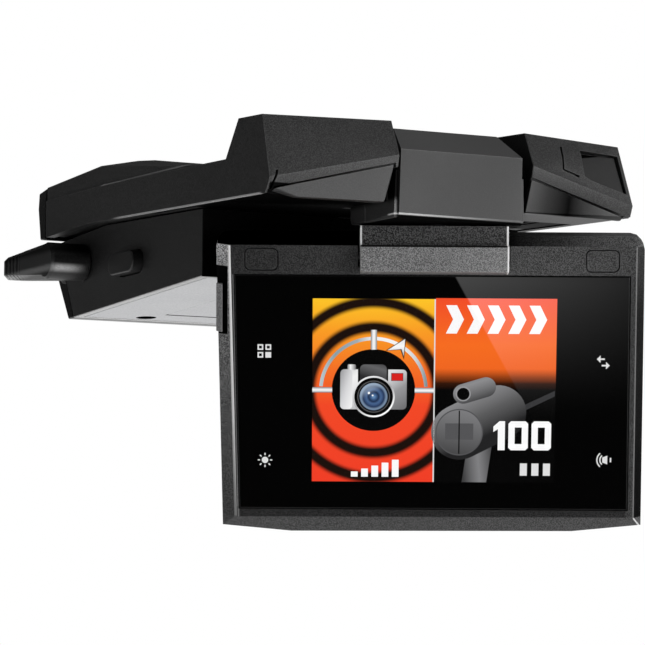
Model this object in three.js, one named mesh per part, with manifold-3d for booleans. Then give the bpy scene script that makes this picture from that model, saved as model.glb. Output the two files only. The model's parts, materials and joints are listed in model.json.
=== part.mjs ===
// Windscreen radar and laser detector with a hanging colour display.
// Millimetres, +X right, +Y forward, +Z along the windscreen pad's normal.
// The origin is the middle of the pad's top face.
import * as THREE from 'three'
import { ConvexGeometry } from 'three/addons/geometries/ConvexGeometry.js'
import { mergeVertices } from 'three/addons/utils/BufferGeometryUtils.js'
import Module from 'manifold-3d'

const wasm = await Module()
wasm.setup()

// Driving dimensions. The unit group has its zero at the lower near corner line of the wing.
const GAP = 0.3
const PAD = { half: 15.5, near: 21, far: 52, middle: 36.5, top: 16.7, thick: 1 }
const WING = {
  half: 40.8, far: 109.1, nearTop: 8.0, farTop: 10.5, knee: 86, kneeFloor: 3.1, farFloor: 2.4, endFloor: 1.9,
}
const HUMP = { depth: 12, foot: 17.8, end: 13.4, slotLeft: -14.3, slotRight: 16.45 }
const BRACKET = { middle: 0.65, half: 14.5, back: 17.4, bottom: -3.2, shoulder: 6, seam: 10 }
const CASE = {
  half: 36.4, near: 37.2, far: 112, farBottom: 103.2, nearZ: -12.4, farZ: -15.4, wall: 1.6, floor: 1.6,
}
const SWIVEL = { y: 7.2, shaft: 2.4, nut: 5 }
const TILT = { back: 2.6, z: -9.3, barrel: 3.5, front: 5.8, rear: 3, top: 5.7, half: 14.65, pin: 1.1 }
const REST = { swivel: -27, tilt: -16 }
const SCREEN = { front: -4.5, back: 4.5, seam: -1.35 }
const FACE = { top: 3.1, bottom: -51.8, left: -40.5, right: 40, bottomLeft: -39.1, bottomRight: 40.4 }
const SLOT = { left: -46, right: -40.8, bottom: -14.8, top: -1.3, depth: -2.1, slider: 9.7 }
const GLASS = {
  left: -39.4, right: 38.7, bottomLeft: -38.3, bottomRight: 39.1, top: -2.9, bottom: -50.1, thick: 1.1,
}
const JACK = { y: 97.5, z: -4, bore: 2.95 }
const TRAY = { half: 38.5, near: 19.5, far: 108.6 }
const BUTTON = { y: 73.2, z: -6.4, length: 13, height: 4.6, proud: 2.4 }

const PAINT = {
  cover: { color: 0x2b2b2c, roughness: 0.55, metalness: 0 },
  shell: { color: 0x202021, roughness: 0.6, metalness: 0 },
  black: { color: 0x0c0c0d, roughness: 0.5, metalness: 0 },
  gloss: { color: 0x060607, roughness: 0.08, metalness: 0 },
  silver: { color: 0xb9babb, roughness: 0.35, metalness: 1 },
  steel: { color: 0x9a9b9d, roughness: 0.3, metalness: 1 },
  brass: { color: 0xc8a45a, roughness: 0.3, metalness: 1 },
  board: { color: 0x1c5a34, roughness: 0.6, metalness: 0 },
  rubber: { color: 0x131313, roughness: 0.85, metalness: 0 },
  ceramic: { color: 0xd8cfb8, roughness: 0.5, metalness: 0 },
  lens: { color: 0x2a0508, roughness: 0.1, metalness: 0 },
}

// Solids.
function solid(geometry) {
  const bare = new THREE.BufferGeometry()
  bare.setAttribute('position', geometry.getAttribute('position').clone())
  if (geometry.index) bare.setIndex(geometry.index.clone())
  const merged = mergeVertices(bare, 1e-4)
  const mesh = new wasm.Mesh({
    numProp: 3,
    vertProperties: new Float32Array(merged.getAttribute('position').array),
    triVerts: new Uint32Array(merged.index.array),
  })
  return new wasm.Manifold(mesh)
}

function hull(points) {
  return solid(new ConvexGeometry(points.map((point) => new THREE.Vector3(...point))))
}

// A box by its two corners.
function block(low, high) {
  const size = high.map((value, axis) => value - low[axis])
  const geometry = new THREE.BoxGeometry(...size)
  geometry.translate(...low.map((value, axis) => value + size[axis] / 2))
  return solid(geometry)
}

const AXIS_TURN = {
  x: new THREE.Matrix4().makeRotationZ(-Math.PI / 2),
  y: new THREE.Matrix4(),
  z: new THREE.Matrix4().makeRotationX(Math.PI / 2),
}

// A round bar along x, y or z that starts at a point; the far radius can differ.
function bar(axis, start, length, near, far = near, sides = 32) {
  const geometry = new THREE.CylinderGeometry(far, near, Math.abs(length), sides)
  geometry.translate(0, Math.abs(length) / 2, 0)
  if (length < 0) geometry.rotateX(Math.PI)
  geometry.applyMatrix4(AXIS_TURN[axis])
  geometry.translate(...start)
  return solid(geometry)
}

// A flat outline of [a, b] points drawn in the XZ or YZ plane and given a depth.
function extrude(shape, depth) {
  return new THREE.ExtrudeGeometry(shape, { depth, bevelEnabled: false, curveSegments: 8 })
}

function outline(points) {
  return new THREE.Shape(points.map(([a, b]) => new THREE.Vector2(a, b)))
}

// XZ outline, from y = near to y = far.
function slab(shape, near, far) {
  const geometry = extrude(shape, far - near)
  geometry.rotateX(Math.PI / 2)
  geometry.translate(0, far, 0)
  return solid(geometry)
}

// YZ outline, from x = left to x = right.
function profile(points, left, right) {
  const geometry = extrude(outline(points), right - left)
  geometry.rotateY(Math.PI / 2)
  geometry.rotateX(Math.PI / 2)
  geometry.translate(left, 0, 0)
  return solid(geometry)
}

function roundedRectangle(left, right, bottom, top, radius) {
  const shape = new THREE.Shape()
  shape.moveTo(left + radius, bottom)
  shape.lineTo(right - radius, bottom)
  shape.absarc(right - radius, bottom + radius, radius, -Math.PI / 2, 0)
  shape.lineTo(right, top - radius)
  shape.absarc(right - radius, top - radius, radius, 0, Math.PI / 2)
  shape.lineTo(left + radius, top)
  shape.absarc(left + radius, top - radius, radius, Math.PI / 2, Math.PI)
  shape.lineTo(left, bottom + radius)
  shape.absarc(left + radius, bottom + radius, radius, Math.PI, 1.5 * Math.PI)
  return shape
}

// The hull of some points with clearance all round it and room below and in front.
function clearanceOf(points) {
  return hull(points.flatMap(([x, y, z]) => [-GAP, GAP].flatMap((dx) => [
    [x + dx, y + GAP, z + GAP], [x + dx, y + GAP, z - 3], [x + dx, y - 3, z + GAP], [x + dx, y - 3, z - 3],
  ])))
}

// Each point and its mirror image about the plane x = middle.
function mirrored(points, middle = 0) {
  return points.flatMap(([x, y, z]) => [[middle + x, y, z], [middle - x, y, z]])
}

function cut(body, ...tools) {
  return tools.reduce((result, tool) => result.subtract(tool), body)
}

function join(body, ...others) {
  return others.reduce((result, other) => result.add(other), body)
}

function place(group, name, shape, paint) {
  const { vertProperties, triVerts } = shape.getMesh()
  const indexed = new THREE.BufferGeometry()
  indexed.setAttribute('position', new THREE.BufferAttribute(new Float32Array(vertProperties), 3))
  indexed.setIndex(new THREE.BufferAttribute(new Uint32Array(triVerts), 1))
  const geometry = indexed.toNonIndexed()
  geometry.computeVertexNormals()
  const mesh = new THREE.Mesh(geometry, new THREE.MeshStandardMaterial(PAINT[paint]))
  mesh.name = name
  group.add(mesh)
}

// Height of the wing's lower edge at a distance y from the near end: it rises to a knee and drops again.
function wingFloor(y) {
  if (y < WING.knee) return (WING.kneeFloor * y) / WING.knee
  return WING.kneeFloor + ((WING.farFloor - WING.kneeFloor) * (y - WING.knee)) / (WING.far - WING.knee)
}

// Height of the lower case's bottom.
function caseFloor(y) {
  return CASE.nearZ + ((CASE.farZ - CASE.nearZ) * (y - CASE.near)) / (CASE.farBottom - CASE.near)
}

// Main unit: roof.
function wingSlab() {
  return hull(mirrored([
    [WING.half, 0, 0], [WING.half, -1.2, 3.1], [WING.half - 0.9, 0, WING.nearTop],
    [WING.half, 77, WING.farTop], [WING.half, WING.far, WING.farTop],
    [WING.half, WING.far - 0.2, WING.endFloor], [WING.half, 12, 8.4],
  ]))
}

// What lies under the wing's lower edge.
function underWing() {
  const end = WING.far + 6
  return profile([[0, -6], [0, 0], [WING.knee, WING.kneeFloor], [end, wingFloor(end)], [end, -6]], -45, 45)
}

function farHump() {
  const side = WING.half - 0.3
  return hull(mirrored([
    [side, 28, 6], [side, 28, 8.6], [side, 77, 10.3], [side - 2.7, 58, 13.5], [side - 2.7, 66.5, 14.4],
    [side, 79.5, 14.7], [side, WING.far, 13.4], [side, WING.far, 9],
  ]))
}

// The near face leans back above a crease that rises towards the middle.
function nearHump(side) {
  const left = side < 0
  const inner = left ? HUMP.end : HUMP.slotRight + 0.1
  const top = left ? [WING.half, 1.5, 15.4] : [38.6, 0.6, 14.4]
  const [hem, creaseOuter, creaseInner, crown] = left ? [0.6, 2.9, 8.8, 15.9] : [0.15, 2.3, 8.7, 15.6]
  const points = [
    [WING.half, -0.6, hem], [WING.half - 0.1, -1.7, creaseOuter], top, [top[0], HUMP.depth, top[2] + 0.5],
    [WING.half, HUMP.foot, 8.4], [WING.half, HUMP.foot, 0.9],
    [inner, -0.9, 3.8], [inner, -2.7, 6.6], [inner, -3.3, creaseInner], [inner, 0.1, crown],
    [inner, HUMP.depth, crown + 0.6], [inner, HUMP.foot, 8.4], [inner, HUMP.foot, 0.9],
  ]
  return hull(points.map(([x, y, z]) => [side * x, y, z]))
}

function coverRooms() {
  const main = hull(mirrored([
    [38.9, TRAY.near - GAP, -1], [38.9, TRAY.near - GAP, 6.6], [38.9, 77, 8.6],
    [38.9, 120, 8.6], [38.9, 120, -1],
  ]))
  const pods = [[-38.9, HUMP.slotLeft - 1.7], [HUMP.slotRight + 1.7, 38.9]].map(([west, east]) => (
    block([west, 1.2, 1.8], [east, TRAY.near + 2, 6])
  ))
  const far = hull(mirrored([
    [37.9, 46, 6], [35.9, 64, 11.6], [37.9, 80, 12.7], [37.9, 120, 11.2], [37.9, 120, 6],
  ]))
  const left = hull([
    [-39, 2.6, 4], [-39, 3.6, 13.6], [-39, 10.6, 14], [-39, 15.6, 6],
    [-16.6, 1.2, 5], [-16.6, 2.6, 13.8], [-16.6, 10.6, 14.3], [-16.6, 15.6, 6],
  ])
  const right = hull([
    [39, 2.6, 4], [36.6, 4.6, 12.2], [36.6, 10.6, 12.8], [39, 15.6, 6],
    [18.4, 1.2, 5], [18.4, 3.8, 13.6], [18.4, 10.6, 14.2], [18.4, 15.6, 6],
  ])
  return join(main, far, left, right, ...pods)
}

// Room for the bracket.
function bracketSlot() {
  const low = block([HUMP.slotLeft, -6, -4], [HUMP.slotRight, HUMP.foot + 0.1, 6.4])
  const nose = block([-HUMP.end - 0.05, -6, 6], [HUMP.slotRight, 3.9, 20])
  return join(low, nose)
}

// The right pod's sensor window lies in a tapering recess: its outline, drawn in by an inset.
function windowOutline(inset) {
  return [
    [28.9 + inset, 12.9 - inset, 2.9], [38.2 - inset, 12.4 - inset, 1.9], [39.5 - inset, 4.6 + inset, 0.4],
    [31 + inset / 2, 6.8 + inset, 1.6], [29.3 + inset, 7.6 + inset, 1.9],
  ]
}

function windowRecess() {
  return hull(windowOutline(0).flatMap(([x, z, floor]) => [[x, -4, z], [x, floor, z]]))
}

function rearLaserWindow() {
  return hull(windowOutline(GAP).flatMap(([x, z, floor]) => [[x, floor - 1.1, z], [x, floor - GAP, z]]))
}

// A narrow groove in the near face between two [x, bottom y, z] points.
function groove(start, end) {
  const half = 0.2
  return hull([start, end].flatMap(([x, y, z]) => [-half, half].flatMap((step) => [
    [x + step, -6, z + step], [x - step, -6, z + step], [x + step, y, z + step], [x - step, y, z + step],
  ])))
}

// Trim below the panel line of the near face.
function fasciaCorners(side) {
  return side < 0
    ? [[-39.1, -0.45, 0.9], [-14.2, -2.6, 6.9], [-34.4, -0.55, -0.5], [-15.8, -1.5, -0.4],
      [-39.1, 0.8, 0.5], [-14.2, -0.8, 3.6], [-34.4, 0.9, -0.5], [-15.8, 0.9, -0.4]]
    : [[39.1, -0.45, 0.1], [16.6, -2.6, 6.1], [39.1, 0.2, -0.6], [16.1, -0.9, -0.5],
      [39.1, 0.9, 0], [16.6, -0.8, 3.4], [38.9, 0.9, -0.6], [16.3, 0.9, -0.5]]
}

function topCover() {
  const roof = join(wingSlab(), farHump(), nearHump(-1), nearHump(1))
  const grooves = [
    groove([24.5, 0.9, 13.2], [24.1, -1.5, 8.5]), groove([24.1, -1.5, 8.5], [27.8, -1.2, 7.4]),
    groove([-40, 0.4, 0.9], [-39, -0.8, 4.2]),
  ]
  const padSeat = block([-17.5, 19, 10.4], [17.5, 54, 30])
  const trims = [-1, 1].map((side) => clearanceOf(fasciaCorners(side)))
  return cut(roof, underWing(), coverRooms(), bracketSlot(), windowRecess(), padSeat, ...grooves, ...trims)
}

// Floor panel under the wing, with the slots of the speaker.
function baseTray() {
  const { half, near, far } = TRAY
  const edge = (rise) => [near, WING.knee, far].map((y) => [y, wingFloor(y) + rise])
  const panel = profile([...edge(0.25), ...edge(1.6).reverse()], -half, half)
  const well = block([-33.5, 40, -4], [33.5, 103, 8])
  const grille = [-2, -1, 0, 1, 2].map((step) => (
    block([28 + step * 2.4 - 0.6, 22.5, -2], [28 + step * 2.4 + 0.6, 31.5, 4])
  ))
  return cut(panel, well, ...grille)
}

// Sensor windows and lenses.
function frontWindow() {
  const near = WING.far + 0.3
  const side = WING.half - 0.05
  const cap = hull(mirrored([
    [side, near, WING.endFloor], [side, near, 10.5], [side - 0.3, near, 13.35], [side, near + 3, 2.2],
    [side - 0.3, near + 4.6, 12.6], [side, near + 4.3, 9],
  ]))
  const hollow = hull(mirrored([
    [38.6, near - 2, 3.8], [37.4, near - 2, 11.4], [38.6, near + 1.2, 4.2], [37.4, near + 2.4, 11],
  ]))
  return cap.subtract(hollow)
}

function caseEndCap() {
  const gap = 0.3
  const side = CASE.half - 0.05
  const slope = (CASE.far - CASE.farBottom) / (1.8 - CASE.farZ)
  const faceY = (z) => CASE.farBottom + slope * (z - CASE.farZ) + gap
  return hull(mirrored([
    [side, faceY(CASE.farZ), CASE.farZ], [side, faceY(1.2), 1.2],
    [side, faceY(CASE.farZ) + 2.9, CASE.farZ - 0.1], [side, 112.4, -6.5], [side, 112.6, 1.2],
  ]))
}

// Centre bracket that carries the display.
function bracketFront() {
  const lower = hull(mirrored([
    [14.55, -2, -2.4], [14.2, -1.4, BRACKET.bottom], [BRACKET.half, BRACKET.seam - 0.15, -3.1],
    [BRACKET.half, BRACKET.seam - 0.15, BRACKET.shoulder], [14.3, -2.2, BRACKET.shoulder],
  ], BRACKET.middle))
  const front = mirrored([
    [13.7, -2.5, -2.4], [13.7, -1.9, BRACKET.bottom], [13.6, -3.05, 10.05], [11.3, 3.2, 14.95],
    [11.3, 3.5, 14.8], [13.7, 3.5, 10], [13.7, 3.5, BRACKET.bottom],
  ], BRACKET.middle)
  const nose = hull([...front, [-11.3, 3.2, 14.95], [-11.3, 3.5, 14.8]])
  const bore = bar('z', [0, SWIVEL.y, -6], 9, SWIVEL.shaft + 0.3)
  const nutPocket = block([-5.4, 1.4, 0.2], [5.4, BRACKET.seam + 1.8, 4.2])
  return cut(join(lower, nose), bore, nutPocket)
}

function bracketRear() {
  const near = BRACKET.seam + 0.15
  const shell = hull(mirrored([
    [BRACKET.half, near, -3.1], [BRACKET.half, BRACKET.back - 0.8, -2.9], [13.8, BRACKET.back, -2.2],
    [BRACKET.half, near, BRACKET.shoulder], [BRACKET.half, BRACKET.back - 0.8, BRACKET.shoulder],
    [13.8, BRACKET.back, BRACKET.shoulder],
  ], BRACKET.middle))
  return shell.subtract(block([-12, 8, -1.4], [12, 15.8, 4.4]))
}

// A slot-ended outline facing sideways, grown by a margin, from x = left to x = right.
function buttonShape(margin, left, right) {
  const half = BUTTON.length / 2 + margin
  const radius = BUTTON.height / 2 + margin
  const shape = roundedRectangle(
    BUTTON.y - half, BUTTON.y + half, BUTTON.z - radius, BUTTON.z + radius, radius - 0.01)
  const points = shape.getPoints(8).map((point) => [point.x, point.y])
  return profile(points, left, right)
}

// Lower case and its plate.
function lowerCase() {
  const lip = 0.15
  const outer = hull(mirrored([
    [CASE.half, CASE.near, CASE.nearZ], [CASE.half, CASE.farBottom, CASE.farZ],
    ...[CASE.near - 0.3, WING.knee].map((y) => [CASE.half, y, wingFloor(y) - lip]),
    [CASE.half, CASE.far, 1.6],
  ]))
  const inside = CASE.half - CASE.wall
  const inner = hull(mirrored([
    [inside, CASE.near + CASE.wall, -20], [inside, 99.1, -20],
    [inside, CASE.near + CASE.wall, 5], [inside, 111.9, 5],
  ]))
  const buttonHole = buttonShape(GAP, -CASE.half - 5, -CASE.half + 5)
  const jackHole = bar('x', [-CASE.half - 2, JACK.y, JACK.z], 5, JACK.bore + 0.35)
  return cut(outer, inner, buttonHole, jackHole)
}

const SCREW_SPOTS = [[-21.6, 43], [21.6, 43], [-21.6, 97.8], [21.6, 97.8]]
const HATCH = { half: 19.4, near: 60, far: 92.4, depth: 0.8 }

function floorPlate(half, near, far, low, high) {
  return hull(mirrored([
    [half, near, caseFloor(near) + low], [half, near, caseFloor(near) + high],
    [half, far, caseFloor(far) + low], [half, far, caseFloor(far) + high],
  ]))
}

function bottomPlate() {
  const near = CASE.near + CASE.wall + 0.25
  const plate = floorPlate(CASE.half - CASE.wall - 0.25, near, 101.1, 0, CASE.floor)
  const holes = SCREW_SPOTS.map(([x, y]) => bar('z', [x, y, -20], 10, 2, 2, 24))
  const seat = floorPlate(HATCH.half, HATCH.near, HATCH.far, -1, HATCH.depth + 0.25)
  return cut(plate, seat, ...holes)
}

function caseScrew([x, y]) {
  const low = caseFloor(y) + 0.55
  const head = bar('z', [x, y, low], 1.1, 1.65, 1.65, 24)
  const socket = bar('z', [x, y, low - 0.2], 0.8, 0.8, 0.8, 6)
  const shank = bar('z', [x, y, low + 1], 0.85, 0.9, 0.9, 16)
  return join(head, shank).subtract(socket)
}

// Electronics.
function radarHorn() {
  const outer = hull(mirrored([
    [15, 97, -7.4], [15, 97, 6.4], [5.6, 72, -3.6], [5.6, 72, 1.8],
  ]))
  const inner = hull(mirrored([
    [14, 98, -6.6], [14, 98, 5.6], [4.2, 71, -2.4], [4.2, 71, 0.6],
  ]))
  const guide = block([-5.6, 62, -3.6], [5.6, 72.4, 1.8])
  const guideRoom = block([-4.2, 63.4, -2.4], [4.2, 74, 0.6])
  return cut(join(outer, guide), inner, guideRoom)
}

function dcJack() {
  const body = block([-34.5, JACK.y - 4.7, JACK.z - 4.3], [-24, JACK.y + 4.7, JACK.z + 4.3])
  const bore = bar('x', [-36.6, JACK.y, JACK.z], 10.6, JACK.bore)
  const pin = bar('x', [-33.8, JACK.y, JACK.z], 8.8, 0.75, 0.75, 16)
  return join(body.subtract(bore), pin)
}

function mountingBlock() {
  const deck = hull(mirrored([
    [16.6, 39.4, 10.75], [16.6, 53, 10.75], [PAD.half, PAD.near, PAD.top - PAD.thick - 0.3],
    [PAD.half, PAD.far, PAD.top - PAD.thick - 0.3],
    [16.6, 20, 13.4], [16.6, 53, 13.4], [16.6, 20, 10.75],
  ]))
  const foot = hull(mirrored([
    [14, 20.4, 9.1], [14, 27.5, 9.3], [14, 20.4, 12], [14, 27.5, 12],
  ]))
  return join(deck, foot)
}

const unit = new THREE.Group()
unit.position.set(0, -PAD.middle, -PAD.top)

place(unit, 'top_cover', topCover(), 'cover')
place(unit, 'base_tray', baseTray(), 'shell')
place(unit, 'near_fascia_left', hull(fasciaCorners(-1)), 'cover')
place(unit, 'near_fascia_right', hull(fasciaCorners(1)), 'cover')
place(unit, 'bracket_front', bracketFront(), 'cover')
place(unit, 'bracket_rear', bracketRear(), 'cover')
place(unit, 'front_window', frontWindow(), 'gloss')
place(unit, 'rear_laser_window', rearLaserWindow(), 'cover')
place(unit, 'front_laser_lens', bar('y', [0, 100.6, 6.6], 4, 2.3), 'lens')
place(unit, 'rear_laser_sensor', bar('y', [34.2, 4.4, 9.6], 3.6, 1.5, 1.5, 24), 'black')
place(unit, 'lower_case', lowerCase(), 'shell')
place(unit, 'case_end_cap', caseEndCap(), 'gloss')
place(unit, 'bottom_plate', bottomPlate(), 'silver')
place(unit, 'bottom_hatch',
  floorPlate(HATCH.half - 0.25, HATCH.near + 0.25, HATCH.far - 0.25, 0, HATCH.depth - 0.05), 'silver')
SCREW_SPOTS.forEach((spot, index) => {
  place(unit, `case_screw_${index + 1}`, caseScrew(spot), 'steel')
})
place(unit, 'main_board', block([-33, 40, -10], [33, 98, -8.8]), 'board')
place(unit, 'shield_can', block([-30, 44, -8.5], [-10, 62, -5.4]), 'steel')
place(unit, 'processor_chip', block([8, 45, -8.5], [22, 59, -7]), 'black')
place(unit, 'radar_horn', radarHorn(), 'brass')
place(unit, 'microwave_module', block([-9, 50, -4.8], [9, 61.7, 3]), 'steel')
place(unit, 'laser_board', block([-14, 98.6, 3.6], [14, 99.8, 9]), 'board')
place(unit, 'gps_antenna', block([-9, 66, 7.2], [9, 84, 10.9]), 'ceramic')
place(unit, 'speaker', bar('z', [28, 27, 2.9], 3.2, 7, 5.6), 'black')
place(unit, 'dc_jack', dcJack(), 'black')
place(unit, 'mounting_block', mountingBlock(), 'shell')
place(unit, 'adhesive_pad',
  block([-PAD.half, PAD.near, PAD.top - PAD.thick], [PAD.half, PAD.far, PAD.top]), 'rubber')

place(unit, 'side_button', buttonShape(0, -CASE.half - BUTTON.proud, -CASE.half + 2.6), 'black')

// Right-angle power plug, its arm pointing forward.
const ARM = {
  left: -45.7, right: -38.4, near: 98.2, seam: 112, end: 121.8, root: 4, tip: 2.5, z: -4, tipZ: -3.5,
}

// A cut across the arm, an octagon with flat sides, drawn in by an inset.
function armSection(y, inset) {
  const share = (y - ARM.near) / (ARM.end - ARM.near)
  const half = ARM.root + (ARM.tip - ARM.root) * share - inset
  const middle = ARM.z + (ARM.tipZ - ARM.z) * share
  const left = ARM.left + inset
  const right = ARM.right - 1.6 * share - inset
  return [[left, half - 1], [left + 1, half], [right - 1, half], [right, half - 1]]
    .flatMap(([x, rise]) => [[x, y, middle + rise], [x, y, middle - rise]])
}

function plugHousing() {
  const head = join(
    bar('x', [-CASE.half - 0.4, JACK.y, JACK.z], -8.3, 4),
    bar('x', [-CASE.half - 8.69, JACK.y, JACK.z], -0.6, 4, 3.5),
  )
  return join(head, hull([...armSection(ARM.near, 0), ...armSection(ARM.seam - 0.3, 0)]))
}

function plugStrainRelief() {
  const core = hull([...armSection(ARM.seam, 0.7), ...armSection(ARM.end, 0.7)])
  const pitch = (ARM.end - ARM.seam) / 5
  const ribs = [0, 1, 2, 3, 4].map((step) => {
    const start = ARM.seam + step * pitch
    return hull([...armSection(start, 0), ...armSection(start + pitch - 0.7, 0)])
  })
  const nub = bar('y', [(ARM.left + ARM.right) / 2, ARM.end - 1.5, ARM.tipZ], 3.2, 1.4, 1.1, 20)
  return join(core, ...ribs, nub)
}

function plugBarrel() {
  const sleeve = bar('x', [-CASE.half - 0.1, JACK.y, JACK.z], 9.2, 2.6, 2.6, 24)
  return sleeve.subtract(bar('x', [-CASE.half + 1.4, JACK.y, JACK.z], 12, 1.2, 1.2, 16))
}

place(unit, 'plug_housing', plugHousing(), 'rubber')
place(unit, 'plug_strain_relief', plugStrainRelief(), 'rubber')
place(unit, 'plug_barrel', plugBarrel(), 'steel')

// Swivel: x along the display's width, y away from the viewer.
const swivel = new THREE.Group()
swivel.position.set(0, SWIVEL.y, 0)
swivel.rotation.z = THREE.MathUtils.degToRad(REST.swivel)
unit.add(swivel)

function swivelShaft() {
  return bar('z', [0, 0, -6.4], 9.8, SWIVEL.shaft)
}

function swivelNut() {
  const ring = bar('z', [0, 0, 0.6], 1.8, SWIVEL.nut, SWIVEL.nut, 6)
  return ring.subtract(bar('z', [0, 0, 0], 4, SWIVEL.shaft + 0.25))
}

// Neck and barrel of the tilt hinge, with a socket for the shaft.
function hingeArm() {
  const { back, z, barrel, front, rear, top, half } = TILT
  const section = [
    [-front, top], [-front, 0.9], [-barrel, 0], [0, -barrel * 0.6], [rear, 0], [rear, top],
  ]
  const post = profile(section.map(([y, rise]) => [back + y, z + rise]), -half, half)
  const round = bar('x', [-half, back, z], 2 * half, barrel, barrel, 40)
  const socket = bar('z', [0, 0, -6.7], 8, SWIVEL.shaft + 0.3)
  const pinHole = bar('x', [-half - 1, back, z], 2 * half + 2, TILT.pin + 0.3, TILT.pin + 0.3, 24)
  return cut(join(post, round), socket, pinHole)
}

place(swivel, 'swivel_shaft', swivelShaft(), 'steel')
place(swivel, 'swivel_nut', swivelNut(), 'brass')
place(swivel, 'hinge_arm', hingeArm(), 'cover')

// Display, zero at the tilt axis, z up the screen.
const display = new THREE.Group()
display.position.set(0, TILT.back, TILT.z)
display.rotation.x = THREE.MathUtils.degToRad(-REST.tilt)
swivel.add(display)

// The housing's outline, moved in by an inset, at depth y.
function rim(inset, bottomInset, y) {
  const left = -43.05 + inset
  const right = 41.7 - inset
  const top = 5 - Math.min(inset, 2)
  const corner = 2.6
  const turn = [0, 30, 60, 90].map((degrees) => THREE.MathUtils.degToRad(degrees))
  const upper = turn.flatMap((angle) => {
    const rise = top - corner + corner * Math.sin(angle)
    return [
      [right - corner + corner * Math.cos(angle), y, rise],
      [left + corner - corner * Math.cos(angle), y, rise],
    ]
  })
  return [
    ...upper, [left + 1.35, y, -54 + bottomInset], [right + 0.4, y, -53.6 + bottomInset],
    [-27.9, y, -55.25 + bottomInset], [28.3, y, -55 + bottomInset],
  ]
}

// The flat front of the housing.
function face() {
  return [
    [FACE.left, SCREEN.front, FACE.top], [FACE.right, SCREEN.front, FACE.top],
    [FACE.bottomLeft, SCREEN.front, FACE.bottom], [FACE.bottomRight, SCREEN.front, FACE.bottom + 0.2],
  ]
}

const NOTCH = TILT.half + 0.4

// Space for the hinge arm: a round channel, open upwards from a height.
function notch(near, far, height) {
  return join(
    bar('x', [-NOTCH, 0, 0], 2 * NOTCH, TILT.barrel + 0.4, TILT.barrel + 0.4, 40),
    block([-NOTCH, near, height], [NOTCH, far, 8]),
  )
}

const COVERS = [[-37.5, -30.7], [29.9, 36.7]]

// The glass, grown by a margin, from y = near to y = far.
function glassPlate(margin, near, far) {
  const { left, right, top, bottom, bottomLeft, bottomRight } = GLASS
  return slab(outline([
    [bottomLeft - margin, bottom - margin], [bottomRight + margin, bottom - margin],
    [right + margin, top + margin], [left - margin, top + margin],
  ]), near, far)
}

function displayBezel() {
  const frame = hull([...face(), ...rim(0, 0, -2.7), ...rim(0, 0, SCREEN.seam - 0.15)])
  const seat = glassPlate(0.25, -6, SCREEN.front + GLASS.thick + GAP)
  const slot = block([SLOT.left, -6, SLOT.bottom], [SLOT.right, SLOT.depth, SLOT.top])
  const window = block([-37.7, -6, -48.6], [36.7, 0, -4.7])
  const pads = COVERS.map(([left, right]) => (
    slab(roundedRectangle(left, right, -2, 2.6, 1.2), -6, -3.5)
  ))
  return cut(frame, seat, window, slot, notch(-6, 0, -1.1), ...pads)
}

const BOSSES = [[-35.7, -9], [34.5, -9], [-34.9, -45], [33.9, -45]]

function displayBack() {
  const shell = hull([...rim(0, 0, SCREEN.seam + 0.15), ...rim(0, 0, 1.9), ...rim(2.6, 2.6, SCREEN.back)])
  const room = hull([...rim(1.7, 1.7, -3), ...rim(1.7, 1.7, 1.5), ...rim(4, 3.6, 3.1)])
  const keep = block([-19.6, -2, -5.7], [19.6, 6, 8])
  const bosses = BOSSES.map(([x, z]) => bar('y', [x, SCREEN.seam + 0.4, z], 5, 3, 3, 24))
  const recesses = BOSSES.map(([x, z]) => bar('y', [x, 3.2, z], 4, 2.1, 2.1, 24))
  const pinHole = bar('x', [-18.6, 0, 0], 37.2, TILT.pin + 0.3, TILT.pin + 0.3, 24)
  const body = join(shell.subtract(room.subtract(keep)), ...bosses)
  return cut(body, notch(-6, 8, -1.1), pinHole, ...recesses)
}

function hingeCover() {
  const section = [[-7.5, 3.7], [-6.8, 3.7], [-6.8, -0.4], [-4.8, -1.3], [-4.8, -2.5], [-7.9, -1.5]]
  return profile(section, -TILT.half, TILT.half)
}

// Power slider in its slot on the left bevel.
function powerSlider() {
  const low = SLOT.bottom + GAP
  const back = SLOT.depth - GAP
  return hull([low, low + SLOT.slider].flatMap((z) => [
    [-43.05, back, z], [-43.05, -2.9, z], [-41.8, -3.9, z], [-41.8, back, z],
  ]))
}

place(display, 'display_bezel', displayBezel(), 'cover')
place(display, 'display_back', displayBack(), 'cover')
place(display, 'display_glass', glassPlate(0, SCREEN.front, SCREEN.front + GLASS.thick), 'gloss')
place(display, 'lcd_panel', block([-26.3, -2.9, -46.6], [26.9, -0.9, -5.9]), 'gloss')
place(display, 'display_board', block([-30.8, 0.2, -47.2], [30.2, 1.4, -6.4]), 'board')
place(display, 'hinge_cover', hingeCover(), 'cover')
place(display, 'tilt_pin', bar('x', [-18.2, 0, 0], 36.4, TILT.pin, TILT.pin, 24), 'steel')
COVERS.forEach(([left, right], index) => {
  const shape = roundedRectangle(left + 0.25, right - 0.25, -1.75, 2.35, 1)
  place(display, ['screw_cover_left', 'screw_cover_right'][index], slab(shape, SCREEN.front, -3.8), 'shell')
})
BOSSES.forEach(([x, z], index) => {
  const head = bar('y', [x, 3.5, z], 0.8, 1.75, 1.75, 24)
  place(display, `display_screw_${index + 1}`, head.subtract(bar('y', [x, 3.8, z], 1, 0.8, 0.8, 6)), 'steel')
})
place(display, 'power_slider', powerSlider(), 'shell')

export default unit
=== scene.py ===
"""Looks of a windscreen radar detector with a hanging touch display.

Pieces, lights and the camera are placed in metres in the row frame. Shades and prints measure in
millimetres, in one of two frames. The main unit's: x across, y towards its far end, z up. The
display's: x across the screen, y away from the viewer, z up the screen, zero on the tilt axis.
"""

import json
import math

import bmesh
import bpy
from mathutils import Matrix, Vector


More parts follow.
